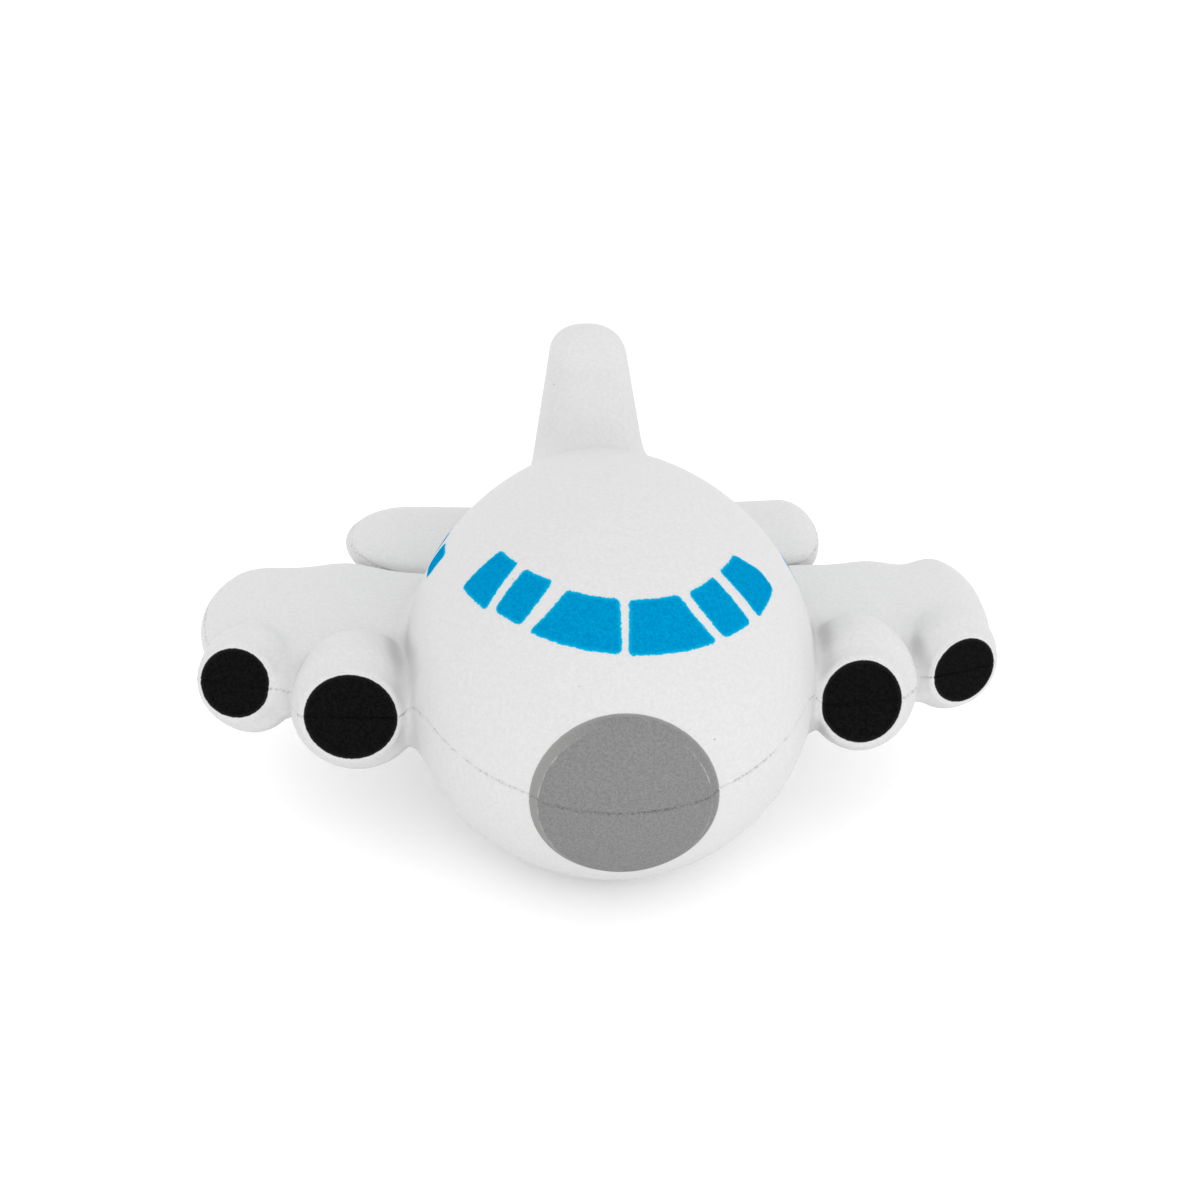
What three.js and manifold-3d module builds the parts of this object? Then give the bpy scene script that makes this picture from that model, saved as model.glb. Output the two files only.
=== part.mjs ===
// Soft foam toy airliner: a squeezable jet with a round body, four engines and painted windows.
// Millimetres, +Z up. The nose points to -Y and the wings lie along X. The origin is under the
// middle of the toy, on the surface it rests on.
//
// The toy is one foam moulding, so its pieces are layers: the foam core, the tough white skin
// formed against the upper and the lower half of the mould, and the patches of sprayed paint.

import * as THREE from 'three';
import { mergeVertices } from 'three/addons/utils/BufferGeometryUtils.js';
import Module from 'manifold-3d';

const wasm = await Module();
wasm.setup();

// ---- Driving dimensions, measured from the middle of the nose rim on the mould's parting plane

const SPAN = 120;
const SKIN = 1.2; // thickness of the white skin
const PAINT = 0.5; // thickness of a paint patch
const GAP = 0.3; // clearance between neighbouring layers
const BELLY_FLAT_Z = -25; // height of the flat that the toy stands on
const DEG = Math.PI / 180;
const OUTER_DETAIL = 0.8; // fineness of the facets on the outer form
const INNER_DETAIL = 0.5; // and of those on hidden faces

const BODY = {
  noseY: -4.4,
  widestY: 30,
  tailY: 76.8,
  halfWidth: 30,
  halfHeight: 28,
  centreZ: 1.1,
  tailRise: 10.3, // how far the centre line climbs towards the tail
  rearPower: 2.19,
  rearTaper: 1.18,
};

const WING = {
  tipX: SPAN / 2,
  leadY: 10.5,
  leadSweep: 0.37,
  trailY: 52.3,
  trailSweep: 0.18,
  halfRoot: 9.2,
  halfTip: 5,
  tipRound: 11,
  centreZ: -1.8,
};

const TAILPLANE = {
  tipX: 38.6,
  leadY: 50.2,
  leadSweep: 0.28,
  trailY: 77,
  trailSweep: 0.12,
  halfRoot: 5.3,
  halfTip: 2.8,
  tipRound: 10.5,
  centreZ: -1.1,
};

const FIN = {
  rootZ: 0,
  topZ: 33.5,
  leadTopY: 71,
  leadSlope: 0.82,
  trailTopY: 83.1,
  trailSlope: 0.16,
  halfTop: 5.4,
  halfGrowth: 0.18, // extra half thickness for each mm below the top
  topRound: 5,
};

const INNER_ENGINE = { x: 36.6, y: 21.1, radius: 6.2, lip: 2.6, length: 19, toeOut: 6 * DEG };
const OUTER_ENGINE = { x: 52.8, y: 29.3, radius: 5.1, lip: 2, length: 19, toeOut: 14 * DEG };

const NOSE_PATCH_RADIUS = 13;
const NOSE_PATCH_RISE = 0.4; // how far the nose patch stands proud of the skin

// The windscreen band runs round the upper nose between two heights. A pane is given by the
// bearings of its edges, in degrees from straight ahead: [inner low, outer low, inner high, outer high].
const WINDSCREEN = { lowZ: 20, highZ: 24.4 };
const WINDSCREEN_PANES = {
  centre: [1.8, 29.5, 1.8, 23.5],
  middle: [34.5, 47.5, 30.5, 46],
  outer: [52.5, 70, 52.5, 69],
};
// Each cabin window sits a step further down the side than the one ahead of it.
const CABIN_WINDOWS = {
  count: 4,
  firstY: 37.3,
  pitch: 7.2,
  width: 5.4,
  highRoll: 56.4,
  lowRoll: 66.4,
  rollStep: 2.5,
};

// ---- Conversion between three.js geometries and manifold solids

function toSolid(geometry) {
  const bare = geometry.clone();
  bare.deleteAttribute('normal');
  bare.deleteAttribute('uv');
  const merged = mergeVertices(bare, 1e-4);
  const corners = merged.index.array;
  const triangles = [];
  for (let i = 0; i < corners.length; i += 3) {
    const [a, b, c] = corners.slice(i, i + 3);
    if (a !== b && b !== c && c !== a) {
      triangles.push(a, b, c);
    }
  }
  return new wasm.Manifold(new wasm.Mesh({
    numProp: 3,
    vertProperties: new Float32Array(merged.attributes.position.array),
    triVerts: new Uint32Array(triangles),
  }));
}

function toGeometry(solid) {
  const mesh = solid.getMesh();
  const geometry = new THREE.BufferGeometry();
  geometry.setAttribute('position', new THREE.BufferAttribute(mesh.vertProperties, 3));
  geometry.setIndex(new THREE.BufferAttribute(mesh.triVerts, 1));
  geometry.computeVertexNormals();
  return geometry;
}

function movePoints(geometry, move) {
  const position = geometry.attributes.position;
  const point = new THREE.Vector3();
  for (let i = 0; i < position.count; i += 1) {
    move(point.fromBufferAttribute(position, i));
    position.setXYZ(i, point.x, point.y, point.z);
  }
  return geometry;
}

function boxBetween(low, high) {
  const size = new THREE.Vector3().subVectors(high, low);
  const middle = new THREE.Vector3().addVectors(low, high).multiplyScalar(0.5);
  return toSolid(new THREE.BoxGeometry(size.x, size.y, size.z).translate(middle.x, middle.y, middle.z));
}

// ---- Body: a round section swept along a centre line that climbs towards the tail

function bodyCentreZ(y) {
  const t = Math.max(0, (y - BODY.widestY) / (BODY.tailY - BODY.widestY));
  return BODY.centreZ + BODY.tailRise * t * t;
}

function bodySection(y, noseY, tailY) {
  if (y < BODY.widestY) {
    const t = Math.min(1, (BODY.widestY - y) / (BODY.widestY - noseY));
    return Math.sqrt(1 - t * t);
  }
  const t = Math.min(1, (y - BODY.widestY) / (tailY - BODY.widestY));
  return (1 - t ** BODY.rearPower) ** BODY.rearTaper;
}

function bodySolid(inset, detail) {
  const rings = Math.round(20 * detail);
  const segments = 4 * Math.round(10 * detail);
  const noseY = BODY.noseY + inset;
  const tailY = BODY.tailY - inset;
  const profile = [];
  for (let i = 0; i <= rings; i += 1) {
    const y = (noseY + tailY) / 2 - ((tailY - noseY) / 2) * Math.cos((Math.PI * i) / rings);
    const onAxis = i === 0 || i === rings;
    profile.push(new THREE.Vector2(onAxis ? 0 : bodySection(y, noseY, tailY), y));
  }
  const body = new THREE.LatheGeometry(profile, segments);
  return toSolid(movePoints(body, (point) => {
    point.x *= BODY.halfWidth - inset;
    point.z = point.z * (BODY.halfHeight - inset) + bodyCentreZ(point.y);
  }));
}

// ---- Wings, tailplane and fin: soft-edged slabs that thin out towards their tips

function roundedSlab(outline, halfThickness, edgeRound, steps) {
  const bevelThickness = 0.75 * halfThickness;
  return new THREE.ExtrudeGeometry(outline, {
    depth: 2 * (halfThickness - bevelThickness),
    bevelThickness,
    bevelSize: edgeRound,
    bevelOffset: -edgeRound,
    bevelSegments: steps,
    curveSegments: 2 * steps,
  }).translate(0, 0, bevelThickness - halfThickness);
}

function surfaceSolid(plan, side, inset, steps) {
  const rootX = -6;
  const tipX = plan.tipX - inset;
  const bendX = plan.tipX - plan.tipRound;
  const lead = (x) => plan.leadY + plan.leadSweep * x + inset;
  const trail = (x) => plan.trailY + plan.trailSweep * x - inset;
  const middle = (lead(tipX) + trail(tipX)) / 2;
  const pull = 0.6;
  const pulledX = bendX + pull * (tipX - bendX);
  const outline = new THREE.Shape();
  outline.moveTo(side * rootX, lead(rootX));
  outline.lineTo(side * bendX, lead(bendX));
  outline.bezierCurveTo(
    side * pulledX, lead(pulledX),
    side * tipX, middle + (lead(tipX) - middle) * pull,
    side * tipX, middle,
  );
  outline.bezierCurveTo(
    side * tipX, middle + (trail(tipX) - middle) * pull,
    side * pulledX, trail(pulledX),
    side * bendX, trail(bendX),
  );
  outline.lineTo(side * rootX, trail(rootX));
  const slab = roundedSlab(outline, plan.halfRoot, plan.halfTip - inset, steps);
  return toSolid(movePoints(slab, (point) => {
    const along = Math.max(0, side * point.x) / plan.tipX;
    const half = plan.halfRoot + (plan.halfTip - plan.halfRoot) * along - inset;
    point.z = plan.centreZ + (point.z * half) / plan.halfRoot;
  }));
}

function finSolid(inset, steps) {
  const lead = (z) => FIN.leadTopY + FIN.leadSlope * (z - FIN.topZ) + inset;
  const trail = (z) => FIN.trailTopY + FIN.trailSlope * (z - FIN.topZ) - inset;
  const rootZ = FIN.rootZ + inset;
  const topZ = FIN.topZ - inset;
  const bendZ = FIN.topZ - FIN.topRound;
  const topRound = topZ - bendZ;
  const outline = new THREE.Shape();
  outline.moveTo(lead(rootZ), rootZ);
  outline.lineTo(trail(rootZ), rootZ);
  outline.lineTo(trail(bendZ), bendZ);
  outline.quadraticCurveTo(trail(topZ), topZ, trail(topZ) - topRound, topZ);
  outline.lineTo(lead(topZ) + topRound, topZ);
  outline.quadraticCurveTo(lead(topZ), topZ, lead(bendZ), bendZ);
  const slab = roundedSlab(outline, FIN.halfTop, 0.4 * topRound, steps);
  return toSolid(movePoints(slab, (point) => {
    const [y, z, x] = [point.x, point.y, point.z];
    const half = FIN.halfTop + FIN.halfGrowth * (FIN.topZ - z) - inset;
    point.set((x * half) / FIN.halfTop, y, z);
  }));
}

// ---- Engines: short barrels with a flat intake face, set into the wing's leading edge

function placeEngine(geometry, engine, side) {
  return geometry.rotateZ(side * engine.toeOut).translate(side * engine.x, engine.y, 0);
}

function engineSolid(engine, side, inset, segments) {
  const radius = engine.radius - inset;
  const full = engine.radius + engine.lip - inset;
  const profile = [
    [0, inset],
    [radius, inset],
    [radius + 0.6 * engine.lip, inset + 0.03 * engine.length],
    [full, 0.2 * engine.length],
    [full, 0.45 * engine.length],
    [radius, 0.85 * engine.length],
    [0.5 * radius, engine.length - inset],
    [0, engine.length - inset],
  ];
  const barrel = new THREE.LatheGeometry(profile.map(([r, y]) => new THREE.Vector2(r, y)), segments);
  return toSolid(placeEngine(barrel, engine, side));
}

function intakeDisc(engine, side, grow, depth) {
  const proud = grow > 0 ? PAINT : 0;
  const disc = new THREE.CylinderGeometry(engine.radius + grow, engine.radius + grow, depth + proud, 24);
  return toSolid(placeEngine(disc.translate(0, (depth - proud) / 2, 0), engine, side));
}

// ---- The whole outer form, shrunk by inset on every face

function airframe(inset, detail) {
  const steps = Math.round(4 * detail);
  const segments = Math.round(28 * detail);
  let form = bodySolid(inset, detail).add(finSolid(inset, steps));
  for (const side of [-1, 1]) {
    form = form.add(surfaceSolid(WING, side, inset, steps));
    form = form.add(surfaceSolid(TAILPLANE, side, inset, steps));
    form = form.add(engineSolid(INNER_ENGINE, side, inset, segments));
    form = form.add(engineSolid(OUTER_ENGINE, side, inset, segments));
  }
  const far = 2 * SPAN;
  const under = boxBetween(
    new THREE.Vector3(-far, -far, -far),
    new THREE.Vector3(far, far, BELLY_FLAT_Z + inset),
  );
  return form.subtract(under);
}

// ---- Paint patches: each is a slice of a thin layer that follows the body's surface

function bodyLayer(outerInset, innerInset) {
  return bodySolid(outerInset, OUTER_DETAIL).subtract(bodySolid(innerInset, OUTER_DETAIL));
}

function panePrism(bearings, side, grow) {
  const [innerLow, outerLow, innerHigh, outerHigh] = bearings;
  const nearRadius = 10;
  const farRadius = 45;
  const growAngle = grow / (0.6 * BODY.halfWidth) / DEG;
  const prism = new THREE.BoxGeometry(1, 1, 1);
  return toSolid(movePoints(prism, (corner) => {
    const inner = corner.z < 0 ? innerLow : innerHigh;
    const outer = corner.z < 0 ? outerLow : outerHigh;
    const bearing = side * corner.x < 0 ? inner - growAngle : outer + growAngle;
    const radius = corner.y > 0 ? nearRadius : farRadius;
    const z = corner.z < 0 ? WINDSCREEN.lowZ - grow : WINDSCREEN.highZ + grow;
    corner.set(
      side * radius * Math.sin(bearing * DEG),
      BODY.widestY - radius * Math.cos(bearing * DEG),
      z,
    );
  }));
}

function cabinPrism(index, side, grow) {
  const middleY = CABIN_WINDOWS.firstY + index * CABIN_WINDOWS.pitch;
  const growAngle = grow / (0.8 * BODY.halfWidth) / DEG;
  const prism = new THREE.BoxGeometry(1, 1, 1);
  return toSolid(movePoints(prism, (corner) => {
    const edge = corner.z > 0 ? CABIN_WINDOWS.highRoll - growAngle : CABIN_WINDOWS.lowRoll + growAngle;
    const roll = edge + index * CABIN_WINDOWS.rollStep;
    const radius = side * corner.x < 0 ? 8 : 45;
    const y = middleY + Math.sign(corner.y) * (CABIN_WINDOWS.width / 2 + grow);
    corner.set(
      side * radius * Math.sin(roll * DEG),
      y,
      bodyCentreZ(middleY) + radius * Math.cos(roll * DEG),
    );
  }));
}

function noseCylinder(grow) {
  const radius = NOSE_PATCH_RADIUS + grow;
  return toSolid(new THREE.CylinderGeometry(radius, radius, 24, 32));
}

// ---- Assembly

const group = new THREE.Group();
const paintedMaterial = (color, roughness) => new THREE.MeshStandardMaterial({ color, roughness, metalness: 0 });

function addNode(name, solid, material) {
  const mesh = new THREE.Mesh(toGeometry(solid.translate(SHIFT)), material);
  mesh.name = name;
  group.add(mesh);
}

// From the parting plane's frame to the toy's own: middle of its length, base at Z = 0.
const outer = airframe(0, OUTER_DETAIL);
const extent = outer.boundingBox();
const noseTipY = extent.min[1] - NOSE_PATCH_RISE;
const SHIFT = [0, -(noseTipY + extent.max[1]) / 2, -BELLY_FLAT_Z];

addNode('foam_core', airframe(SKIN + GAP, INNER_DETAIL), paintedMaterial(0xe9dfbf, 0.95));

const windowLayer = bodyLayer(0, PAINT);
const windowPocketLayer = bodyLayer(-1, PAINT + GAP);
const patches = [];
let pockets = bodyLayer(-1, PAINT + GAP - NOSE_PATCH_RISE).intersect(noseCylinder(GAP));

for (const side of [-1, 1]) {
  const sideName = side < 0 ? 'left' : 'right';
  for (const [place, bearings] of Object.entries(WINDSCREEN_PANES)) {
    patches.push([`windscreen_${sideName}_${place}`, panePrism(bearings, side, 0).intersect(windowLayer), 'blue']);
    pockets = pockets.add(panePrism(bearings, side, GAP).intersect(windowPocketLayer));
  }
  for (let i = 0; i < CABIN_WINDOWS.count; i += 1) {
    patches.push([`cabin_window_${sideName}_${i + 1}`, cabinPrism(i, side, 0).intersect(windowLayer), 'blue']);
    pockets = pockets.add(cabinPrism(i, side, GAP).intersect(windowPocketLayer));
  }
  for (const [place, engine] of [['inner', INNER_ENGINE], ['outer', OUTER_ENGINE]]) {
    patches.push([`intake_${sideName}_${place}`, intakeDisc(engine, side, 0, PAINT), 'black']);
    pockets = pockets.add(intakeDisc(engine, side, GAP, PAINT + GAP));
  }
}
patches.push([
  'nose_patch',
  bodyLayer(-NOSE_PATCH_RISE, PAINT - NOSE_PATCH_RISE).intersect(noseCylinder(0)),
  'grey',
]);

const shell = outer.subtract(airframe(SKIN, INNER_DETAIL)).subtract(pockets);
const far = 2 * SPAN;
const upperRegion = boxBetween(new THREE.Vector3(-far, -far, GAP / 2), new THREE.Vector3(far, far, far));
const lowerRegion = boxBetween(new THREE.Vector3(-far, -far, -far), new THREE.Vector3(far, far, -GAP / 2));
addNode('upper_skin', shell.intersect(upperRegion), paintedMaterial(0xe6e6e4, 0.6));
addNode('lower_skin', shell.intersect(lowerRegion), paintedMaterial(0xe2e2e0, 0.6));

const patchLooks = {
  blue: [0x0aa2d3, 0.55],
  grey: [0x949494, 0.6],
  black: [0x151515, 0.65],
};
for (const [name, solid, look] of patches) {
  addNode(name, solid, paintedMaterial(...patchLooks[look]));
}

export default group;
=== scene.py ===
"""Looks of the soft foam toy airliner: moulded white skin, foam core and sprayed paint.

The toy is one self-skinned foam moulding, so its outside is worked out as one distance field in
millimetres: x across, y towards the tail, z up from the mould's parting plane, with y = 0 at the
nose button's rim. place() turns those into the row's metres.
"""

import math

import bmesh
import bpy
import numpy as np
import openvdb
from mathutils import Matrix, Vector


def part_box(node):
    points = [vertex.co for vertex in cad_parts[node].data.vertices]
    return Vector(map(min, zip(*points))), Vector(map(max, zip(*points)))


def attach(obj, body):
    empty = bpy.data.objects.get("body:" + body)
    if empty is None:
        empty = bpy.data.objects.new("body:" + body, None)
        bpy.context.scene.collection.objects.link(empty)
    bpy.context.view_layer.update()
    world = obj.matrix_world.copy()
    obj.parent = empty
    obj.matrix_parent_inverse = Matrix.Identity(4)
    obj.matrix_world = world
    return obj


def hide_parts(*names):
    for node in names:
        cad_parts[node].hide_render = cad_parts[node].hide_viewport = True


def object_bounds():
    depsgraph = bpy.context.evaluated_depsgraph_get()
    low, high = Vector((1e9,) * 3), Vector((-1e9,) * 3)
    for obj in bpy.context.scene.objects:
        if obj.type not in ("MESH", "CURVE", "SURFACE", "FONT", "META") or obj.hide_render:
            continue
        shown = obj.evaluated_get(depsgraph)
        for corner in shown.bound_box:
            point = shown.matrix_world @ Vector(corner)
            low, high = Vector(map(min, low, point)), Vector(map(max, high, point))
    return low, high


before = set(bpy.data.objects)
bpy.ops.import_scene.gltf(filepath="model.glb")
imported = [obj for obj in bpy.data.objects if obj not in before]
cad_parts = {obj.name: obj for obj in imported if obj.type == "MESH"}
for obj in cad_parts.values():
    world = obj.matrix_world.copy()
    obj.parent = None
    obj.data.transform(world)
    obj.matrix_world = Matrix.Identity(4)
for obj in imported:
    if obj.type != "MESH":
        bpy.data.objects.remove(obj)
cad_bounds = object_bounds()

MM = 0.001
CAD_BUTTON_RISE = 0.4
NOSE_Y = -4.4
PARTING_Z = (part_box("lower_skin")[1].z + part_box("upper_skin")[0].z) / 2
ORIGIN = Vector((0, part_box("nose_patch")[0].y - (NOSE_Y - CAD_BUTTON_RISE) * MM, PARTING_Z))
BELLY_Z = (cad_bounds[0].z - PARTING_Z) / MM

SKIN = 1.2
CORE_INSET = 1.5
OUTER_STEP = 0.45
INNER_STEP = 0.95

# On the front of the body the mould's parting line climbs above the wings' plane, towards the
# wings and towards the toy's own left, and drops back to it just before the engine pods.
PARTING_LIFT = 1.4
PARTING_CLIMB = 0.15
PARTING_TILT = 0.02
PARTING_FADE_X = (26.0, 31.0)
PARTING_FADE_Y = (18.0, 30.0)
PARTING_REACH = 12.0  # how far above and below the line the mould's own space is bent


def smooth(value, low, high):
    """From 0 at low to 1 at high, with soft ends."""
    t = np.clip((value - low) / (high - low), 0, 1)
    return t * t * (3 - 2 * t)


def parting_lift(points, height):
    """How far the bend raises the mould's space, at that height in it."""
    x, y = points[:, 0], points[:, 1]
    line = PARTING_LIFT + PARTING_CLIMB * (y - NOSE_Y) + PARTING_TILT * x
    line = line * smooth(np.abs(x), *PARTING_FADE_X[::-1]) * smooth(y, *PARTING_FADE_Y[::-1])
    return line * np.exp(-(height / PARTING_REACH) ** 2)


def bent(points):
    """Points of the mould's space, whose parting line is flat, as points of the toy."""
    moved = np.array(points, float)
    moved[:, 2] += parting_lift(moved, moved[:, 2])
    return moved


def unbent(points):
    """Points of the toy as points of the mould's space."""
    height = points[:, 2]
    for _ in range(12):
        height = 0.5 * height + 0.5 * (points[:, 2] - parting_lift(points, height))
    return np.column_stack([points[:, :2], height])


def place(points):
    """Points of the mould's space as row metres."""
    return bent(points) * MM + np.array(ORIGIN)


# ------------------------------------------------------------------------------------ the form

BODY = dict(widest=30.0, tail=76.8, half_width=30.0, half_height=28.0, centre=1.1,
            rise=10.3, power=2.19, taper=2.36, skew=0.4,
            skew_from=10.0, skew_to=40.0)
WING = dict(tips=(60.0, 60.2), lead=10.5, lead_sweep=0.36, trail=52.3, trail_sweep=0.18,
            root_half=9.2, tip_half=5.0, rounds=(11.0, 7.0), centre=-1.8, power=2.6)
TAILPLANE = dict(tips=(38.6, 38.1), lead=50.5, lead_sweep=0.28, trail=77.0, trail_sweep=0.12,
                 root_half=5.3, tip_half=2.8, rounds=(10.5, 5.5), centre=-1.1, power=2.6)
FIN = dict(top=33.5, lead=71.0, lead_slope=0.82, trail=83.1, trail_slope=0.16,
           top_half=5.4, growth=0.18, round=3.4, root=2.0, power=2.5)

# Where the wings' trailing edge swells or dips: place across, half width and how far back.
TRAIL_WAVES = ((-38.0, 5.5, 2.4), (-54.5, 2.5, 0.5),
               (38.0, 5.0, -0.8), (48.8, 4.0, -2.6), (57.0, 4.0, -1.8))

# The engine pods, left and right as seen from the front. A face turns towards +x by toe and up
# by pitch, in degrees. The barrel behind it is off the middle of the painted disc by shift
# towards +x and drop downwards.
PODS = {
    "left_inner": dict(x=-37.2, y=20.8, disc=6.5, toe=-4, pitch=9,
                       barrel=9.4, length=16.0, shift=0.6, drop=0.5),
    "left_outer": dict(x=-53.75, y=30.0, disc=5.04, toe=-13, pitch=20,
                       barrel=7.4, length=12.0, shift=1.6, drop=0.9),
    "right_inner": dict(x=36.0, y=21.5, disc=5.95, toe=7, pitch=24,
                        barrel=8.5, length=16.0, shift=1.0, drop=-0.6),
    "right_outer": dict(x=52.65, y=29.1, disc=5.06, toe=19, pitch=7,
                        barrel=7.5, length=12.0, shift=-0.5, drop=0.2),
}
POD_TAPER = 0.3
POD_END_ROUND = 7.0
AXIS_TOE = 0.4  # the barrel's axis turns less than its face
BARREL_BACK = 0.7  # how far behind the disc the barrel's rounded front begins
BARREL_ROUND = 3.0
COLLAR = 3.0  # length of the straight collar behind the painted disc
COLLAR_EDGE = 0.45  # how much wider than the disc it is
COLLAR_ROUND = 0.5
COLLAR_BLEND = 2.4

# The nose button, an ellipse seen from the front: a bevelled rim round a plain face.
BUTTON = dict(x=-0.47, z=0.72, high=13.38, wide=12.71, lean=12.0, bevel=1.5, rise=0.75)

BODY_WING_BLEND = 2.0
POD_BLEND = 1.0
FIN_BLEND = 4.0
FIN_ROOT_ROUND = 1.0
TAIL_BLEND = 4.0
BELLY_BLEND = 2.0


def blended(a, b, radius):
    """Smooth union of two distance arrays."""
    h = np.maximum(radius - np.abs(a - b), 0) / radius
    return np.minimum(a, b) - h * h * radius / 4


def cut(a, b, radius):
    """Smooth intersection of two distance arrays."""
    return -blended(-a, -b, radius)


def as_distance(field, xyz):
    """A field that is zero on the surface, over its slope, is close to a distance near it."""
    step = 0.02
    value = field(*xyz)
    slope = np.zeros_like(value)
    for axis in range(3):
        moved = list(xyz)
        moved[axis] = xyz[axis] + step
        slope += ((field(*moved) - value) / step) ** 2
    return value / np.sqrt(np.maximum(slope, 1e-5))


def body_field(x, y, z):
    front = np.clip((BODY["widest"] - y) / (BODY["widest"] - NOSE_Y), 0, None)
    rear = np.clip((y - BODY["widest"]) / (BODY["tail"] - BODY["widest"]), 0, None)
    left = 1 - rear ** BODY["power"]
    section = np.sign(left) * np.abs(left) ** BODY["taper"] - front ** 2
    centre = BODY["centre"] + BODY["rise"] * rear ** 2
    middle = BODY["skew"] * smooth(y, BODY["skew_from"], BODY["skew_to"])
    across = ((x - middle) / BODY["half_width"]) ** 2
    upright = ((z - centre) / BODY["half_height"]) ** 2
    return across + upright - section


def slab_field(u, v, w, power):
    """A soft-edged slab: u and v run across its section from -1 to 1, and w past its bend to 1."""
    section = (np.abs(u) ** power + np.abs(v) ** power) ** (2 / power)
    return np.sqrt(section + np.clip(w, 0, None) ** 2 + 1e-6) - 1


def surface_field(plan, waves=()):
    """The field of a wing or tailplane. Its tips and their rounding are (left, right)."""
    def field(x, y, z):
        out = np.abs(x)
        tip = np.where(x < 0, *plan["tips"])
        bend = np.where(x < 0, *plan["rounds"])
        lead = plan["lead"] + plan["lead_sweep"] * out
        trail = plan["trail"] + plan["trail_sweep"] * out
        for place_x, width, back in waves:
            trail = trail + back * np.exp(-((x - place_x) / width) ** 2)
        half = plan["root_half"] + (plan["tip_half"] - plan["root_half"]) * out / plan["tips"][0]
        u = (2 * y - lead - trail) / (trail - lead)
        w = (out - tip + bend) / bend
        return slab_field(u, (z - plan["centre"]) / half, w, plan["power"])
    return field


def fin_field(x, y, z):
    down = FIN["top"] - z
    lead = FIN["lead"] - FIN["lead_slope"] * down
    trail = FIN["trail"] - FIN["trail_slope"] * down
    half = FIN["top_half"] + FIN["growth"] * down
    u = (2 * y - lead - trail) / (trail - lead)
    w = (FIN["round"] - down) / FIN["round"]
    return slab_field(u, x / half, w, FIN["power"])


def face_axes(pod):
    """Unit vectors out of a pod's face, across it and up it."""
    toe, pitch = math.radians(pod["toe"]), math.radians(pod["pitch"])
    out = np.array([math.sin(toe) * math.cos(pitch),
                    -math.cos(toe) * math.cos(pitch),
                    math.sin(pitch)])
    across = np.array([math.cos(toe), math.sin(toe), 0])
    return out, across, np.cross(out, across)


def pod_distance(pod, x, y, z):
    """A barrel that tapers into the wing, with a straight collar round the painted disc."""
    out, across, up = face_axes(pod)
    toe = math.radians(pod["toe"]) * AXIS_TOE
    dx, dy = x - pod["x"], y - pod["y"]
    beside = dx * math.cos(toe) + dy * math.sin(toe) - pod["shift"]
    behind = -dx * math.sin(toe) + dy * math.cos(toe)
    along = np.clip(behind / pod["length"], 0, 1)
    side = np.hypot(beside, z + pod["drop"]) - pod["barrel"] * (1 - POD_TAPER * along ** 2)
    face = dx * out[0] + dy * out[1] + z * out[2]
    barrel = cut(side, behind - pod["length"], POD_END_ROUND)
    barrel = cut(barrel, face + BARREL_BACK, BARREL_ROUND)
    off_axis = np.hypot(dx * across[0] + dy * across[1], dx * up[0] + dy * up[1] + z * up[2])
    ends = np.maximum(face, -face - COLLAR)
    collar = cut(off_axis - pod["disc"] - COLLAR_EDGE, ends, COLLAR_ROUND)
    return blended(barrel, collar, COLLAR_BLEND)


def button_reach(x, z):
    """Distance from the nose button's middle, stretched so that its outline is at 1."""
    lean = math.radians(BUTTON["lean"])
    dx, dz = x - BUTTON["x"], z - BUTTON["z"]
    high = dz * math.cos(lean) - dx * math.sin(lean)
    wide = dx * math.cos(lean) + dz * math.sin(lean)
    return np.hypot(high / BUTTON["high"], wide / BUTTON["wide"])


def button_rise(x, z):
    """How far the nose button stands out of the body."""
    inwards = (1 - button_reach(x, z)) * BUTTON["wide"]
    return BUTTON["rise"] * smooth(inwards, -0.1, BUTTON["bevel"])


def form(points):
    """Signed distance, roughly, from the toy's surface, at (n, 3) points of the mould's space."""
    points = bent(points)
    x, y, z = (np.ascontiguousarray(points[:, k]) for k in range(3))
    xyz = (x, y, z)
    wing = as_distance(surface_field(WING, TRAIL_WAVES), xyz)
    for pod in PODS.values():
        wing = blended(wing, pod_distance(pod, x, y, z), POD_BLEND)
    tail = as_distance(surface_field(TAILPLANE), xyz)
    fin = cut(as_distance(fin_field, xyz), FIN["root"] - z, FIN_ROOT_ROUND)
    body = as_distance(body_field, xyz) - np.where(y < BODY["widest"], button_rise(x, z), 0)
    whole = blended(body, fin, FIN_BLEND)
    whole = blended(whole, tail, TAIL_BLEND)
    whole = blended(whole, wing, BODY_WING_BLEND)
    return cut(whole, BELLY_Z - z, BELLY_BLEND)


PROBE = 0.02  # the small step that slopes are measured over
LONGEST_MOVE = 0.6  # of a point that settles, in one round


def slopes(points):
    """Unit normals of the form at points near its surface."""
    parts = []
    for axis in range(3):
        shift = np.zeros(3)
        shift[axis] = PROBE
        parts.append(form(points + shift) - form(points - shift))
    normal = np.stack(parts, axis=1)
    return normal / np.maximum(np.linalg.norm(normal, axis=1, keepdims=True), 1e-9)


def settle(points, level=0.0, along=None, rounds=3):
    """Moves points onto the form's surface at that level, down its slope or along one axis."""
    for _ in range(rounds):
        normal = slopes(points)
        gap = np.clip(form(points) - level, -LONGEST_MOVE, LONGEST_MOVE)
        if along is None:
            points = points - gap[:, None] * normal
        else:
            facing = np.minimum(normal @ along, -0.2)
            points = points - (gap / facing)[:, None] * along
    return points


CREASE_REACH = 3.0
CREASE_SPAN = (0.1, 0.75)  # the shares of that reach, taken up, at which a crease starts and is full


def crease_shade(points, normals):
    """How closed in the surface is, from 0 in the open to 1: near walls fill the space above it. It
    sets how much painted shade a crease gets.
    """
    room = form(points + CREASE_REACH * normals) / CREASE_REACH
    return smooth(1 - room, *CREASE_SPAN)


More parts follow.
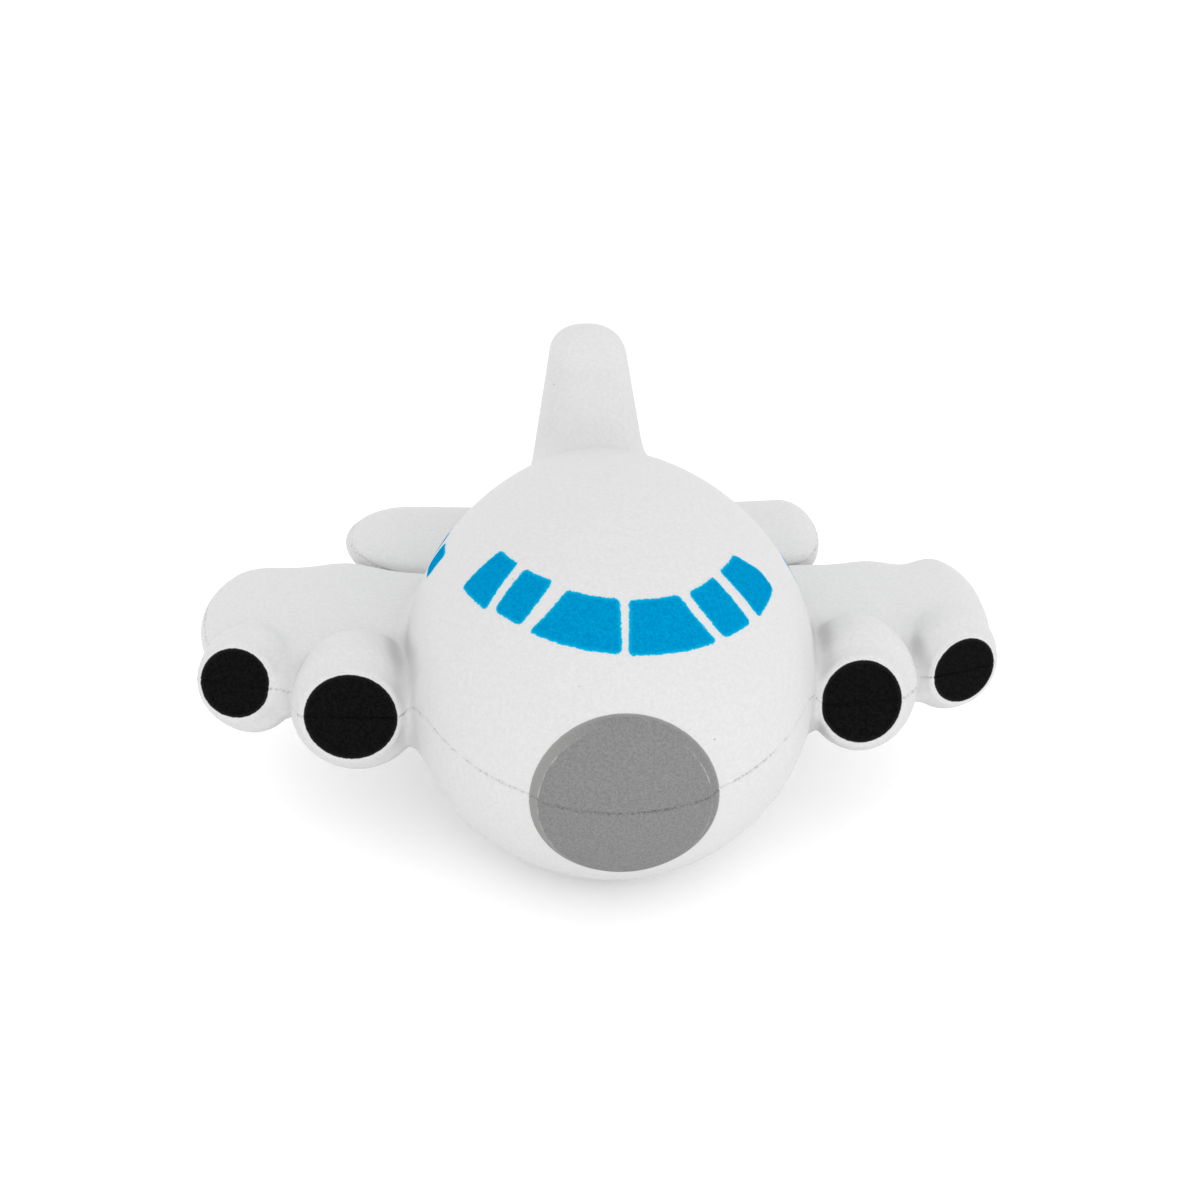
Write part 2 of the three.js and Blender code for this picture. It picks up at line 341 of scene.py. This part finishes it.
def ripple(points, size, seed):
    """Smooth unevenness, mostly within -1 to 1, whose bumps are about size millimetres apart."""
    draw = np.random.default_rng(seed)
    total = np.zeros(len(points))
    waves = 9
    for _ in range(waves):
        direction = draw.normal(size=3)
        direction *= draw.uniform(0.7, 1.4) / (size * np.linalg.norm(direction))
        total += np.sin(2 * math.pi * (points @ direction) + draw.uniform(0, 2 * math.pi))
    return total / math.sqrt(waves)


# ------------------------------------------------------------------------------------ meshing

GRID_LOW = np.array([-62.0, -7.0, -27.5])
GRID_HIGH = np.array([62.0, 86.0, 36.5])
COARSE = 4  # fine cells to a coarse one, along each axis
FAR = 3.0  # what the grid holds away from the surface
SHARP_DEGREES = 55


def distance_grid(step):
    """The form on a regular grid: true near the surface, and only its sign elsewhere."""
    coarse_step = step * COARSE
    counts = np.ceil((GRID_HIGH - GRID_LOW) / coarse_step).astype(int)
    axes = [GRID_LOW[k] + coarse_step * (np.arange(counts[k]) + 0.5) for k in range(3)]
    middles = np.stack(np.meshgrid(*axes, indexing="ij"), axis=-1).reshape(-1, 3)
    rough = form(middles).reshape(counts)
    near = np.abs(rough) < CORE_INSET + 1.2 * coarse_step
    fine = np.where(rough < 0, -FAR, FAR).astype(np.float32)
    for axis in range(3):
        fine = np.repeat(fine, COARSE, axis=axis)
        near = np.repeat(near, COARSE, axis=axis)
    cells = np.argwhere(near)
    fine[near] = form(GRID_LOW + step * (cells + 0.5))
    return fine


def level_surface(step, level):
    """Points and quads of the form's surface at that level."""
    volume = openvdb.FloatGrid(background=FAR)
    volume.copyFromArray(distance_grid(step))
    points, quads = volume.convertToQuads(isovalue=level)
    points = GRID_LOW + step * (np.asarray(points, float) + 0.5)
    return settle(points, level), np.asarray(quads)


def as_mesh(name, points, faces):
    mesh = bpy.data.meshes.new(name)
    mesh.from_pydata(np.asarray(points).tolist(), [], faces)
    return mesh


def coordinates(mesh):
    flat = np.zeros(len(mesh.vertices) * 3)
    mesh.vertices.foreach_get("co", flat)
    return flat.reshape(-1, 3)


def finish_piece(name, mesh, node, material, values=None):
    """Puts a mesh made in form millimetres into the row as the piece that stands for a node."""
    for key, numbers in (values or {}).items():
        layer = mesh.attributes.new(key, "FLOAT", "POINT")
        layer.data.foreach_set("value", np.asarray(numbers, np.float32))
    mesh.vertices.foreach_set("co", place(coordinates(mesh)).ravel())
    mesh.polygons.foreach_set("use_smooth", [True] * len(mesh.polygons))
    mesh.set_sharp_from_angle(angle=math.radians(SHARP_DEGREES))
    mesh.materials.append(material)
    mesh.update()
    piece = bpy.data.objects.new(name, mesh)
    bpy.context.scene.collection.objects.link(piece)
    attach(piece, "root")
    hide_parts(node)
    return piece


# ------------------------------------------------------------------------------------ the seam

SEAM_ROWS = (0.11, 0.24, 0.42, 0.7)
SEAM_DEPTH = 0.15
SEAM_HALF_WIDTH = 0.14
FLASH_HEIGHT = 0.04
FLASH_PLACE = 0.36  # above and below the line
FLASH_HALF_WIDTH = 0.16
GRIME_HALF_WIDTH = 0.2


def seam_offset(points):
    """How far the mould's parting line pulls the surface in, and its flash pushes it out."""
    depth = SEAM_DEPTH * (0.75 + 0.45 * ripple(points, 5.0, 3) + 0.3 * ripple(points, 1.3, 4))
    groove = np.clip(depth, 0.02, None) * np.exp(-(points[:, 2] / SEAM_HALF_WIDTH) ** 2)
    beside = (np.abs(points[:, 2]) - FLASH_PLACE) / FLASH_HALF_WIDTH
    return FLASH_HEIGHT * np.exp(-beside ** 2) - groove


def seam_grime(points):
    """1 on the parting line, fading to either side."""
    return np.exp(-(points[:, 2] / GRIME_HALF_WIDTH) ** 2)


def level_normals(points):
    """Unit normals with nothing up or down, so a point on the parting plane stays there."""
    normal = slopes(points)
    normal[:, 2] = 0
    return normal / np.maximum(np.linalg.norm(normal, axis=1, keepdims=True), 1e-9)


ON_PLANE = 0.02  # a point this near to a cutting plane counts as lying on it


def with_corners(faces):
    """Faces with their points and edges, each once and always in the same order."""
    verts = dict.fromkeys(v for f in faces for v in f.verts)
    edges = dict.fromkeys(e for f in faces for e in f.edges)
    return [*verts, *edges, *faces]


def score_seam(work, rows):
    """Adds rows of edges beside the parting plane and presses the seam into them."""
    reach = max(SEAM_ROWS) * 2
    for height in rows:
        faces = [f for f in work.faces if min(abs(v.co.z) for v in f.verts) < reach]
        bmesh.ops.bisect_plane(work, geom=with_corners(faces), dist=ON_PLANE,
                               plane_co=(0, 0, height), plane_no=(0, 0, 1))
    close = [v for v in work.verts if abs(v.co.z) < reach]
    points = np.array([v.co for v in close])
    moved = points + level_normals(points) * seam_offset(points)[:, None]
    for vert, co in zip(close, moved):
        vert.co = co


# ------------------------------------------------------------------------------------ the moulding

WELD = 0.003
BRIDGE_GAP = 0.03  # a rim face whose middle is this far outside the toy doesn't belong to it
DICE = 1.0  # distance between the cuts across a rim where it bends most
DICE_LONG = 2.0
DICE_SNAP = 0.06


def half_of(surface, side):
    """The part of a closed surface on one side of the parting plane, open along it."""
    work = bmesh.new()
    scratch = as_mesh("scratch", surface[0], surface[1].tolist())
    work.from_mesh(scratch)
    bpy.data.meshes.remove(scratch)
    bmesh.ops.bisect_plane(work, geom=work.verts[:] + work.edges[:] + work.faces[:], dist=ON_PLANE,
                           plane_co=(0, 0, 0), plane_no=(0, 0, side), clear_inner=True)
    return work


def weld(work, verts):
    """Merges points that lie on top of each other, and drops the slivers between them."""
    bmesh.ops.remove_doubles(work, verts=verts, dist=WELD)


def dice_rim(shell, rim):
    """Cuts the flat rim small where the mould's space bends, so that it can follow the bend."""
    geom = with_corners(rim)
    across = np.arange(PARTING_FADE_X[0] - DICE / 2, PARTING_FADE_X[1] + DICE, DICE)
    cuts = [((x, 0, 0), (1, 0, 0)) for x in (*-across, *across)]
    along = np.arange(PARTING_FADE_Y[0], PARTING_FADE_Y[1] + DICE, DICE_LONG)
    cuts += [((0, y, 0), (0, 1, 0)) for y in along]
    for point, direction in cuts:
        geom = bmesh.ops.bisect_plane(shell, geom=geom, dist=DICE_SNAP, plane_co=point,
                                      plane_no=direction)["geom"]
    weld(shell, [part for part in geom if isinstance(part, bmesh.types.BMVert)])


def close_rim(shell, outside):
    """Joins a skin's outside, whose points have a 1 in that layer, to its inside."""
    weld(shell, [v for v in shell.verts if v.is_boundary])
    rims = dict.fromkeys(e for e in shell.edges if e.is_boundary)
    fill = bmesh.ops.triangle_fill(shell, use_beauty=False, edges=list(rims), normal=(0, 0, 1))
    new = dict.fromkeys(f for f in fill["geom"] if isinstance(f, bmesh.types.BMFace))
    waiting = [f for e in rims if e.verts[0][outside] for f in e.link_faces if f in new]
    reached = set()
    while waiting:
        face = waiting.pop()
        if face not in reached:
            reached.add(face)
            waiting += [f for e in face.edges if e not in rims for f in e.link_faces if f in new]
    gaps = form(np.array([f.calc_center_median() for f in new]))
    stray = [f for f, gap in zip(new, gaps) if gap > BRIDGE_GAP or f not in reached]
    rim = list(new)
    while stray:
        gone = set(stray)
        rim = [f for f in rim if f not in gone]
        bmesh.ops.delete(shell, geom=stray, context="FACES_ONLY")
        bmesh.ops.delete(shell, geom=[e for e in shell.edges if e.is_wire], context="EDGES")
        stray = [f for f in rim if any(e.is_boundary for e in f.edges)]
    dice_rim(shell, rim)


def face_outwards(work):
    """Turns every face of a closed mesh to the outside."""
    bmesh.ops.recalc_face_normals(work, faces=work.faces[:])
    if work.calc_volume(signed=True) < 0:
        bmesh.ops.reverse_faces(work, faces=work.faces[:])


def make_skin(node, side, outer, inner, material):
    """One half of the skin: its outside, its inside, and the rim that joins them."""
    shell = half_of(outer, side)
    score_seam(shell, [side * row for row in SEAM_ROWS])
    outside = shell.verts.layers.int.new("outside")
    for vert in shell.verts:
        vert[outside] = 1
    lining = half_of(inner, side)
    scratch = bpy.data.meshes.new("scratch")
    lining.to_mesh(scratch)
    lining.free()
    shell.from_mesh(scratch)
    bpy.data.meshes.remove(scratch)
    outside = shell.verts.layers.int["outside"]
    close_rim(shell, outside)
    shell.verts.layers.int.remove(outside)
    face_outwards(shell)
    mesh = bpy.data.meshes.new(node)
    shell.to_mesh(mesh)
    shell.free()
    points = coordinates(mesh)
    # The second layer sets the skin's painted shade in its creases.
    values = {"seam": seam_grime(points), "crease_shade": crease_shade(points, slopes(points))}
    return finish_piece(node + "_moulded", mesh, node, material, values)


CORE_RIPPLE = 0.12
CORE_RIPPLE_SIZE = 3.0


def make_core(material):
    points, quads = level_surface(INNER_STEP, -CORE_INSET)
    points = points + slopes(points) * (CORE_RIPPLE * ripple(points, CORE_RIPPLE_SIZE, 8))[:, None]
    mesh = as_mesh("foam_core", points, quads.tolist())
    core = finish_piece("foam_core_cast", mesh, "foam_core", material)


# ------------------------------------------------------------------------------------ sprayed paint

PAINT_MARGIN = 0.35  # how far the film goes on past the edge of its paint, as clear haze
PAINT_HEIGHT = 0.05
HAZE_HEIGHT = 0.008
FILM_BOTTOM = 0.001
FILM_STEP = 0.3  # between the points round a film's border
FILM_RING = 0.5  # between its inner rings
EDGE_STEPS = (0.0, 0.1, 0.2, 0.3, 0.4, 0.5, 0.65, 0.85, 1.15)


def rounded(corners, radius):
    """Many points round a polygon whose corners are rounded off."""
    corners = [np.array(c, float) for c in corners]
    walk = []
    for k, corner in enumerate(corners):
        before, after = corners[k - 1], corners[(k + 1) % len(corners)]
        start = corner + (before - corner) * min(radius / np.linalg.norm(before - corner), 0.45)
        stop = corner + (after - corner) * min(radius / np.linalg.norm(after - corner), 0.45)
        for t in np.linspace(0, 1, 9):
            walk.append(start * (1 - t) ** 2 + corner * 2 * t * (1 - t) + stop * t ** 2)
    return np.array(walk)


def evenly(walk, count):
    """The same closed outline as points at even distances."""
    closed = np.vstack([walk, walk[:1]])
    lengths = np.linalg.norm(np.diff(closed, axis=0), axis=1)
    along = np.concatenate([[0], np.cumsum(lengths)])
    at = np.linspace(0, along[-1], count, endpoint=False)
    return np.stack([np.interp(at, along, closed[:, k]) for k in range(2)], axis=1)


def widened(outline, by):
    """An outline that turns left, moved outwards."""
    ahead = np.roll(outline, -1, axis=0) - np.roll(outline, 1, axis=0)
    outward = np.stack([ahead[:, 1], -ahead[:, 0]], axis=1)
    return outline + by * outward / np.linalg.norm(outward, axis=1, keepdims=True)


def film_points(outline, rings):
    """Points from an outline in to its middle, ring by ring, with the middle point last."""
    middle = outline.mean(axis=0)
    reach = np.linalg.norm(outline - middle, axis=1, keepdims=True)
    layers = [outline + (middle - outline) * step / reach for step in EDGE_STEPS]
    last = layers[-1]
    layers += [last + (middle - last) * k / rings for k in range(1, rings)]
    return np.vstack(layers + [middle[None]]), len(layers)


def film_faces(count, layers, top, flip):
    """Quads between the rings and triangles round the middle."""
    faces = []
    for layer in range(layers - 1):
        for k in range(count):
            a, b = layer * count + k, layer * count + (k + 1) % count
            faces.append((a, b, b + count, a + count))
    start = (layers - 1) * count
    for k in range(count):
        faces.append((start + k, start + (k + 1) % count, layers * count))
    faces = [tuple(top + v for v in face) for face in faces]
    return [face[::-1] for face in faces] if flip else faces


def make_film(node, outline, chart, material, crosses_seam=False):
    """A closed thin film of paint on the skin. chart() takes flat points onto the form."""
    perimeter = np.linalg.norm(np.diff(outline, axis=0), axis=1).sum()
    count = int(perimeter / FILM_STEP)
    border = widened(evenly(outline, count), PAINT_MARGIN)
    size = np.linalg.norm(border - border.mean(axis=0), axis=1).mean()
    flat, layers = film_points(border, max(3, int((size - EDGE_STEPS[-1]) / FILM_RING)))
    points = chart(flat)
    normals = slopes(points)
    rim = points[:count]
    inside = np.sqrt(((points[:, None] - rim[None]) ** 2).sum(axis=2)).min(axis=1)
    height = HAZE_HEIGHT + (PAINT_HEIGHT - HAZE_HEIGHT) * smooth(inside, 0, 2 * PAINT_MARGIN)
    top = points + normals * height[:, None]
    n = len(points)
    side = [(k, n + k, n + (k + 1) % count, (k + 1) % count) for k in range(count)]
    faces = film_faces(count, layers, 0, False) + film_faces(count, layers, n, True) + side
    mesh = as_mesh(node, np.vstack([top, points + normals * FILM_BOTTOM]), faces)
    edge = mesh.attributes.new("edge", "FLOAT", "POINT")
    edge.data.foreach_set("value", np.tile(inside - PAINT_MARGIN, 2).astype(np.float32))
    work = bmesh.new()
    work.from_mesh(mesh)
    if crosses_seam:
        score_seam(work, [0] + [s * row for row in SEAM_ROWS for s in (-1, 1)])
    weld(work, work.verts[:])
    face_outwards(work)
    work.to_mesh(mesh)
    work.free()
    values = {"seam": seam_grime(coordinates(mesh))}
    finish_piece(node + "_sprayed", mesh, node, material, values)


def circle(radius):
    turn = np.linspace(0, 2 * math.pi, 181)[:-1]
    return radius * np.stack([np.cos(turn), np.sin(turn)], axis=1)


def button_outline():
    lean = math.radians(BUTTON["lean"])
    wide, high = (circle(1) * (BUTTON["wide"], BUTTON["high"])).T
    across = BUTTON["x"] + wide * math.cos(lean) - high * math.sin(lean)
    return np.stack([across, BUTTON["z"] + wide * math.sin(lean) + high * math.cos(lean)], axis=1)


def nose_chart(flat):
    reach = (flat[:, 0] / BODY["half_width"]) ** 2 + (flat[:, 1] / BODY["half_height"]) ** 2
    depth = BODY["widest"] - (BODY["widest"] - NOSE_Y) * np.sqrt(1 - np.clip(reach, 0, 1))
    start = np.stack([flat[:, 0], depth, flat[:, 1]], axis=1)
    return settle(unbent(start), along=np.array([0.0, 1.0, 0.0]), rounds=4)


def make_intake(node, pod, material):
    out, across, up = face_axes(pod)

    def chart(flat):
        middle = np.array([pod["x"], pod["y"], 0])
        return settle(unbent(middle + flat[:, :1] * across + flat[:, 1:] * up))

    make_film(node, circle(pod["disc"]), chart, material, True)


# Windscreen panes, left and right as seen from the front. Each corner is a bearing round the
# nose in degrees, positive towards +x, and a height. The spray mask sat a little askew.
PANES = {
    "left_centre": ((-2.7, 20.1), (-2.7, 24.4), (-24.7, 24.5), (-32.1, 20.5)),
    "left_middle": ((-37.2, 20.7), (-33.1, 24.8), (-49.6, 24.6), (-49.0, 20.7)),
    "left_outer": ((-53.6, 20.2), (-55.6, 24.6), (-71.8, 24.3), (-70.8, 19.9)),
    "right_centre": ((0.4, 20.0), (1.6, 24.3), (22.0, 24.1), (28.3, 19.5)),
    "right_middle": ((32.7, 19.5), (27.5, 24.0), (43.3, 24.1), (45.0, 19.3)),
    "right_outer": ((51.2, 19.1), (49.4, 24.1), (66.2, 23.9), (70.4, 21.3), (68.6, 19.3)),
}
PANE_ROUND = 0.55
PANE_POINTS = 200
PANE_SPREAD = 0.22  # how far the spray crept under its mask
BEARING_MM = 0.38  # along the skin to a degree of bearing, about half way up a pane
HEIGHT_MM = 1.7  # along the skin to a millimetre of height

# Cabin windows: where each begins along the body, and the turn down its side in degrees.
WINDOW_COUNT = 4
WINDOW_FIRST_Y = 34.6
WINDOW_PITCH = 7.2
WINDOW_WIDTH = 5.4
WINDOW_ROUND = 1.2
WINDOW_DROP = 0.35  # degrees further down for each millimetre towards the tail
WINDOW_TURNS = {"left": (52.3, 62.3), "right": (58.5, 68.5)}
TURN_MM = 0.5  # along the skin to a degree of turn


def pane_chart(flat):
    bearing = np.radians(flat[:, 0] / BEARING_MM)
    height = flat[:, 1] / HEIGHT_MM
    room = 1 - ((height - BODY["centre"]) / BODY["half_height"]) ** 2
    ahead = BODY["widest"] - NOSE_Y
    stretch = (np.sin(bearing) / BODY["half_width"]) ** 2 + (np.cos(bearing) / ahead) ** 2
    reach = np.sqrt(room / stretch)
    x, y = reach * np.sin(bearing), BODY["widest"] - reach * np.cos(bearing)
    return settle(unbent(np.stack([x, y, height], axis=1)))


def make_pane(node, corners, material):
    flat = [(b * BEARING_MM, h * HEIGHT_MM) for b, h in corners]
    if corners[0][0] > corners[2][0]:
        flat = flat[::-1]
    outline = evenly(rounded(flat, PANE_ROUND)[::-1], PANE_POINTS)
    make_film(node, widened(outline, PANE_SPREAD), pane_chart, material)


def make_window(node, side, start_y, turns, material):
    def chart(flat):
        y = flat[:, 0]
        turn = np.radians(flat[:, 1] / TURN_MM + WINDOW_DROP * (y - WINDOW_FIRST_Y))
        rear = np.clip((y - BODY["widest"]) / (BODY["tail"] - BODY["widest"]), 0, 1)
        scale = np.sqrt((1 - rear ** BODY["power"]) ** BODY["taper"])
        x = side * BODY["half_width"] * scale * np.sin(turn)
        z = BODY["centre"] + BODY["rise"] * rear ** 2 + BODY["half_height"] * scale * np.cos(turn)
        return settle(unbent(np.stack([x, y, z], axis=1)))

    low, high = turns[0] * TURN_MM, turns[1] * TURN_MM
    corners = [(start_y, low), (start_y + WINDOW_WIDTH, low),
               (start_y + WINDOW_WIDTH, high), (start_y, high)]
    make_film(node, rounded(corners, WINDOW_ROUND), chart, material)


# ------------------------------------------------------------------------------------ materials

class Shader:
    """One material's nodes, with lengths in millimetres."""

    def __init__(self, name, roughness, specular, sheen=0.0):
        self.material = bpy.data.materials.new(name)
        self.material.use_nodes = True
        self.tree = self.material.node_tree
        self.surface = self.tree.nodes["Principled BSDF"]
        self.surface.inputs["Roughness"].default_value = roughness
        self.surface.inputs["Specular IOR Level"].default_value = specular
        self.surface.inputs["Sheen Weight"].default_value = sheen
        self.where = self.tree.nodes.new("ShaderNodeTexCoord").outputs["Object"]

    def add_node(self, kind, inputs, **settings):
        made = self.tree.nodes.new(kind)
        for key, value in settings.items():
            setattr(made, key, value)
        for key, value in inputs.items():
            if isinstance(value, bpy.types.NodeSocket):
                self.tree.links.new(value, made.inputs[key])
            else:
                made.inputs[key].default_value = value
        return made

    def noise(self, size, detail=2.0, distortion=0.0):
        """Noise round 0.5 whose blotches are about size across."""
        made = self.add_node("ShaderNodeTexNoise", {
            "Vector": self.where, "Scale": 1 / (size * MM), "Detail": detail,
            "Distortion": distortion})
        return made.outputs["Fac"]

    def specks(self, apart, size):
        """1 in small round specks and 0 between them."""
        made = self.add_node("ShaderNodeTexVoronoi", {"Vector": self.where, "Scale": 1 / (apart * MM)})
        return self.span(made.outputs["Distance"], size / apart, 0.6 * size / apart)

    def value(self, name):
        return self.add_node("ShaderNodeAttribute", {}, attribute_name=name).outputs["Fac"]

    def maths(self, operation, a, b, c=0.0):
        return self.add_node("ShaderNodeMath", {0: a, 1: b, 2: c}, operation=operation).outputs[0]

    def span(self, value, low, high, to_low=0.0, to_high=1.0):
        """value's stretch from low to high, turned into to_low to to_high."""
        made = self.add_node("ShaderNodeMapRange", {
            "Value": value, "From Min": low, "From Max": high, "To Min": to_low, "To Max": to_high})
        return made.outputs["Result"]

    def mix(self, share, a, b):
        made = self.add_node("ShaderNodeMix", {}, data_type="RGBA")
        for socket, value in zip((made.inputs[0], made.inputs[6], made.inputs[7]), (share, a, b)):
            if isinstance(value, bpy.types.NodeSocket):
                self.tree.links.new(value, socket)
            else:
                socket.default_value = value if isinstance(value, float) else (*value, 1)
        return made.outputs[2]

    def bump(self, height, depth):
        made = self.add_node("ShaderNodeBump", {
            "Height": height, "Distance": depth * MM, "Strength": 1.0})
        self.tree.links.new(made.outputs["Normal"], self.surface.inputs["Normal"])

    def colour(self, socket):
        self.tree.links.new(socket, self.surface.inputs["Base Color"])


SKIN_PALE = (0.615, 0.615, 0.615)
SKIN_DULL = (0.565, 0.565, 0.565)
SKIN_PORE = (0.16, 0.16, 0.16)
# Painted shade: the colour that the skin is darkened towards in its creases.
SKIN_CREASE_SHADE = (0.40, 0.40, 0.40)


def skin_colour(shader):
    """The white skin's faint mottle, painted shade darkening its creases, rare pores and grime along
    the seam.
    """
    mottle = shader.maths("ADD", shader.noise(0.6, 3), shader.noise(0.25, 2))
    tone = shader.mix(shader.span(mottle, 0.75, 1.25), SKIN_DULL, SKIN_PALE)
    # Painted shade: the skin darkens in creases, where shade would fall.
    tone = shader.mix(shader.maths("MULTIPLY", shader.value("crease_shade"), 0.6), tone, SKIN_CREASE_SHADE)
    rare = shader.span(shader.noise(9, 1), 0.60, 0.64)
    pores = shader.maths("MULTIPLY", shader.specks(3.5, 0.14), rare)
    along = shader.span(shader.noise(0.5, 3), 0.5, 0.66)
    grime = shader.maths("MULTIPLY", shader.maths("MULTIPLY", shader.value("seam"), along), 0.55)
    return shader.mix(shader.maths("MAXIMUM", pores, grime), tone, SKIN_PORE)


def skin_grain(shader):
    return shader.maths("ADD", shader.noise(0.5, 3), shader.noise(2.5, 2))


def skin_material():
    shader = Shader("white_foam_skin", 0.62, 0.25)
    shader.colour(skin_colour(shader))
    shader.bump(skin_grain(shader), 0.03)
    return shader.material


def foam_material():
    shader = Shader("cream_foam", 0.95, 0.1)
    cells = shader.specks(0.9, 0.42)
    tone = shader.mix(shader.noise(3, 3), (0.70, 0.66, 0.55), (0.80, 0.77, 0.68))
    shader.colour(shader.mix(cells, tone, (0.5, 0.46, 0.37)))
    shader.bump(shader.span(cells, 0, 1, 1, 0), 0.15)
    return shader.material


def painted_bevel_light(shader, tone, pale):
    """Painted light on the nose button's bevel: lighter towards -x, where the light falls, with a
    painted highlight along its inner edge.
    """
    place = shader.add_node("ShaderNodeSeparateXYZ", {0: shader.where}).outputs[0]
    # Painted light: the bevel is lighter towards -x, where the light falls on it.
    left = shader.span(place, -3 * MM, -11 * MM)
    inwards = shader.value("edge")
    lit_band = shader.maths("MULTIPLY", left, shader.span(inwards, 1.7, 1.5))
    tone = shader.mix(shader.maths("MULTIPLY", lit_band, 0.7), tone, pale)
    # Painted highlight: a broken pale line along the bevel's inner edge, on the button's sides.
    off_line = shader.maths("ABSOLUTE", shader.maths("SUBTRACT", inwards, 1.62), 0.0)
    line = shader.span(off_line, 0.16, 0.05)
    broken_highlight = shader.maths("MULTIPLY", line, shader.span(shader.noise(1.5, 2), 0.4, 0.6))
    sides = shader.span(shader.maths("ABSOLUTE", place, 0.0), 6 * MM, 10 * MM)
    return shader.mix(shader.maths("MULTIPLY", broken_highlight, sides), tone, tuple(1.25 * c for c in pale))


def paint_material(name, deep, pale, fringe, specular, spread, mottle=0.25, rim=None):
    """Sprayed paint: mottled, and speckled through a fringe where it thins out at its edge."""
    shader = Shader(name, 0.7, specular)
    stir = shader.maths("ADD", shader.noise(mottle, 3), shader.noise(2 * mottle, 2))
    tone = shader.mix(shader.span(stir, 0.78, 1.22), deep, pale)
    grains = shader.maths("ADD", shader.noise(0.16, 2), shader.noise(0.6, 2))
    ragged = shader.maths("MULTIPLY_ADD", shader.maths("SUBTRACT", grains, 1.0), 2 * spread,
                          shader.value("edge"))
    tone = shader.mix(shader.span(ragged, 0.0, 0.55), fringe, tone)
    # rim is the colour of the painted light on the nose button's bevel.
    if rim:
        tone = painted_bevel_light(shader, tone, rim)
    along = shader.span(shader.noise(0.35, 3), 0.45, 0.65)
    seam = shader.maths("MULTIPLY", shader.value("seam"), along)
    tone = shader.mix(shader.maths("MULTIPLY", seam, 0.7), tone, tuple(0.4 * c for c in deep))
    covered = shader.span(ragged, -0.06, 0.06)
    shader.colour(shader.mix(covered, skin_colour(shader), tone))
    shader.bump(skin_grain(shader), 0.03)
    return shader.material


# ------------------------------------------------------------------------------------ the set

CAMERA_AIM = Vector((-3.09, 14.29, 22.51))
CAMERA_DISTANCE = 297.2
CAMERA_AZIMUTH = -5.85
CAMERA_ELEVATION = 31.7
CAMERA_ROLL = 1.93
CAMERA_LENS = 66.25


def add_camera():
    azimuth, elevation = math.radians(CAMERA_AZIMUTH), math.radians(CAMERA_ELEVATION)
    back = Vector((math.sin(azimuth) * math.cos(elevation),
                   -math.cos(azimuth) * math.cos(elevation),
                   math.sin(elevation)))
    right = Vector((math.cos(azimuth), math.sin(azimuth), 0))
    turned = Matrix((right, back.cross(right), back)).transposed()
    turned = turned @ Matrix.Rotation(math.radians(CAMERA_ROLL), 3, "Z")
    data = bpy.data.cameras.new("camera")
    data.lens = CAMERA_LENS
    data.sensor_width = 36
    camera = bpy.data.objects.new("camera", data)
    aim = CAMERA_AIM * MM + ORIGIN
    camera.matrix_world = Matrix.Translation(aim + back * CAMERA_DISTANCE * MM) @ turned.to_4x4()
    bpy.context.scene.collection.objects.link(camera)
    bpy.context.scene.camera = camera


FLOOR_GLOW = 0.08  # the toy stands on a lit table, which leaves next to no shadow


def add_floor():
    shader = Shader("white_floor", 0.9, 0.0)
    shader.surface.inputs["Emission Color"].default_value = (1, 1, 1, 1)
    shader.surface.inputs["Emission Strength"].default_value = FLOOR_GLOW
    shader.colour(shader.mix(shader.noise(40, 2), (0.97, 0.97, 0.97), (1.0, 1.0, 1.0)))
    half = 3.0
    mesh = bpy.data.meshes.new("floor")
    z = cad_bounds[0].z
    mesh.from_pydata([(-half, -half, z), (half, -half, z), (half, half, z), (-half, half, z)],
                     [], [(0, 1, 2, 3)])
    mesh.materials.append(shader.material)
    floor = bpy.data.objects.new("floor", mesh)
    bpy.context.scene.collection.objects.link(floor)


def add_softbox(name, direction, distance, width, power):
    """A square softbox that points at the toy from that direction."""
    data = bpy.data.lights.new(name, "AREA")
    data.shape = "SQUARE"
    data.size = width
    data.energy = power
    light = bpy.data.objects.new(name, data)
    direction = Vector(direction).normalized()
    light.location = direction * distance
    light.rotation_euler = direction.to_track_quat("Z", "Y").to_euler()
    bpy.context.scene.collection.objects.link(light)


def add_light():
    world = bpy.data.worlds.new("tent")
    world.use_nodes = True
    world.node_tree.nodes["Background"].inputs["Color"].default_value = (1, 1, 1, 1)
    world.node_tree.nodes["Background"].inputs["Strength"].default_value = 1.23
    bpy.context.scene.world = world
    add_softbox("front_softbox", (0.5, -1, 0.5), 1.2, 0.9, 1.9)
    bpy.context.scene.view_settings.view_transform = "Standard"


# ------------------------------------------------------------------------------------ assembly

add_camera()
add_floor()
add_light()

white = skin_material()
# The grey paint's rim colour is painted light on the nose button's bevel.
grey = paint_material("grey_paint", (0.175, 0.175, 0.175), (0.225, 0.225, 0.225), (0.25, 0.25, 0.25),
                      0.05, 0.08, 0.2, rim=(0.275, 0.275, 0.27))
black = paint_material("black_paint", (0.0015, 0.0015, 0.0015), (0.0055, 0.0055, 0.0055),
                       (0.012, 0.012, 0.012), 0.03, 0.08)
blue = paint_material("blue_paint", (0.0, 0.195, 0.435), (0.0, 0.265, 0.505), (0.0, 0.36, 0.58),
                      0.0, 0.2)

outer_surface = level_surface(OUTER_STEP, 0.0)
inner_surface = level_surface(INNER_STEP, -SKIN)
make_skin("upper_skin", 1, outer_surface, inner_surface, white)
make_skin("lower_skin", -1, outer_surface, inner_surface, white)
make_core(foam_material())

make_film("nose_patch", button_outline(), nose_chart, grey, True)
for name, pod in PODS.items():
    make_intake("intake_" + name, pod, black)
for name, corners in PANES.items():
    make_pane("windscreen_" + name, corners, blue)
for name, side in (("left", -1), ("right", 1)):
    for k in range(WINDOW_COUNT):
        start_y = WINDOW_FIRST_Y + k * WINDOW_PITCH
        make_window(f"cabin_window_{name}_{k + 1}", side, start_y, WINDOW_TURNS[name], blue)
